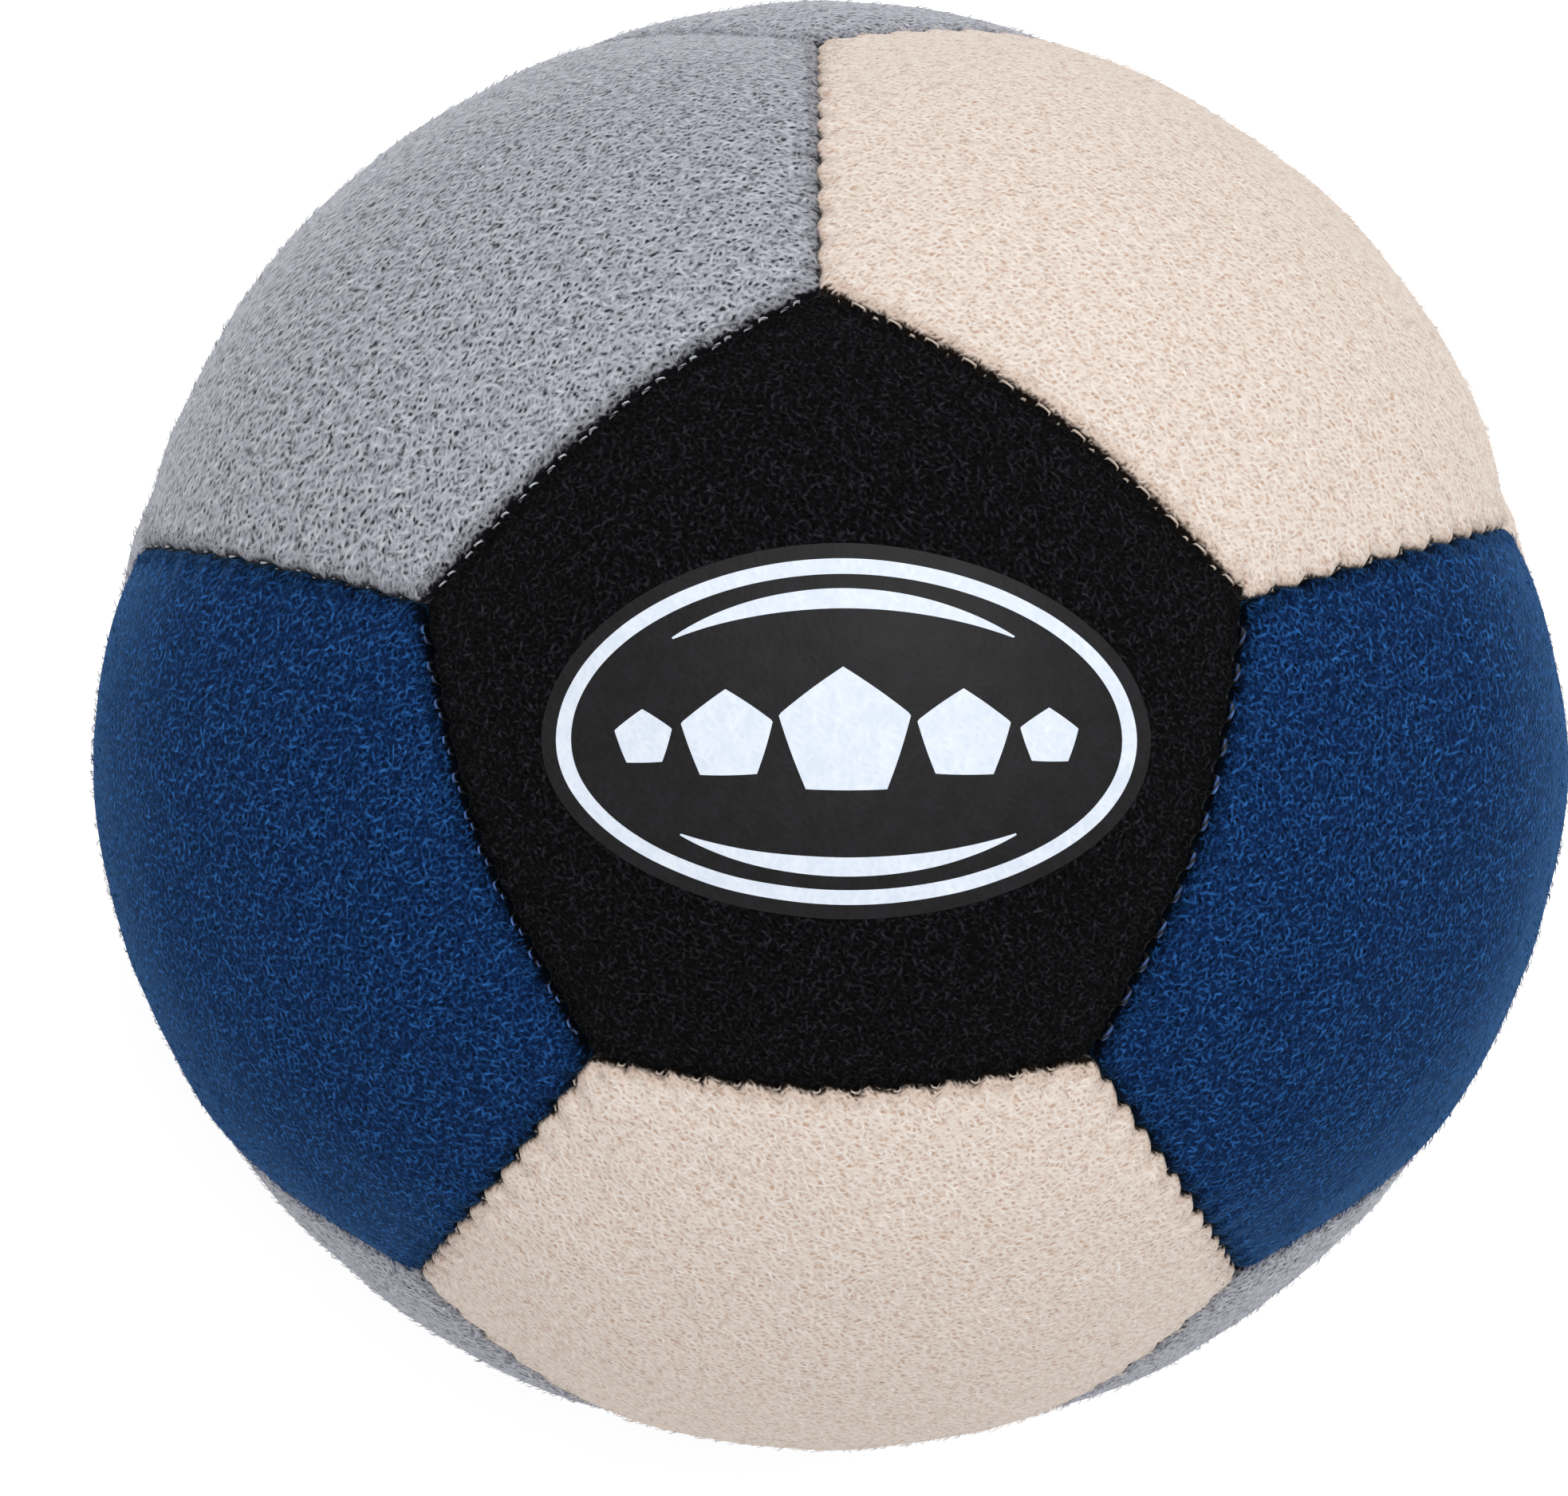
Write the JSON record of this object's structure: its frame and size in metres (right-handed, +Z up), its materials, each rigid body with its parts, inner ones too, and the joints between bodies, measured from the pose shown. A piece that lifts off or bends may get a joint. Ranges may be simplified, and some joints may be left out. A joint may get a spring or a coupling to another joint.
{
  "type": "footbag",
  "caption": "Suede footbag sewn from five-sided panels round a pellet filling, lying on its settled back panel.",
  "frame": {"origin": "middle of the flat that the bag has settled on, on the outside of its back panel", "axes": "+Z up through the middle of the black badge panel, +X to the right and +Y to the top of the badge"},
  "size_m": [0.058, 0.0571, 0.0562],
  "materials": {
    "suede_black": "deep black synthetic suede, short curled nap, matte",
    "suede_blue": "navy blue synthetic suede, short curled nap, pale bloom at grazing angles",
    "suede_gray": "cool gray synthetic suede, combed nap with small dark pits",
    "suede_cream": "warm cream synthetic suede, fine even nap",
    "thread_blue": "blue polyester sewing thread, slight gloss",
    "thread_gray": "light gray polyester sewing thread, slight gloss",
    "thread_cream": "cream polyester sewing thread, slight gloss",
    "pellets": "off-white plastic pellets, hidden inside",
    "badge_film": "charcoal heat-transfer film, satin",
    "badge_print": "cool white printed film, satin"
  },
  "bodies": {
    "root": {"panel_badge_black": "suede_black", "panel_left_blue": "suede_blue", "panel_lower_cream": "suede_cream", "panel_rear_left_gray": "suede_gray", "panel_rear_lower_left_gray": "suede_gray", "panel_rear_lower_right_gray": "suede_gray", "panel_rear_right_cream": "suede_cream", "panel_rear_upper_gray": "suede_gray", "panel_rest_blue": "suede_blue", "panel_right_blue": "suede_blue", "panel_upper_left_gray": "suede_gray", "panel_upper_right_cream": "suede_cream", "pellet_filling": "pellets", "thread_badge_to_left": "thread_blue", "thread_badge_to_lower": "thread_cream", "thread_badge_to_right": "thread_blue", "thread_badge_to_upper_left": "thread_gray", "thread_badge_to_upper_right": "thread_cream", "thread_left_to_rear_left": "thread_blue", "thread_left_to_rear_lower_left": "thread_blue", "thread_lower_to_left": "thread_cream", "thread_lower_to_rear_lower_left": "thread_cream", "thread_lower_to_rear_lower_right": "thread_cream", "thread_lower_to_right": "thread_cream", "thread_rear_left_to_rear_lower_left": "thread_gray", "thread_rear_left_to_rest": "thread_blue", "thread_rear_lower_left_to_rear_lower_right": "thread_gray", "thread_rear_lower_left_to_rest": "thread_blue", "thread_rear_lower_right_to_rear_right": "thread_cream", "thread_rear_lower_right_to_rest": "thread_blue", "thread_rear_right_to_rest": "thread_cream", "thread_rear_upper_to_rear_left": "thread_gray", "thread_rear_upper_to_rear_right": "thread_cream", "thread_rear_upper_to_rest": "thread_blue", "thread_right_to_rear_lower_right": "thread_blue", "thread_right_to_rear_right": "thread_cream", "thread_right_to_upper_right": "thread_cream", "thread_upper_left_to_left": "thread_blue", "thread_upper_left_to_rear_left": "thread_gray", "thread_upper_left_to_rear_upper": "thread_gray", "thread_upper_right_to_rear_right": "thread_cream", "thread_upper_right_to_rear_upper": "thread_cream", "thread_upper_right_to_upper_left": "thread_cream"}
  },
  "joints": []
}
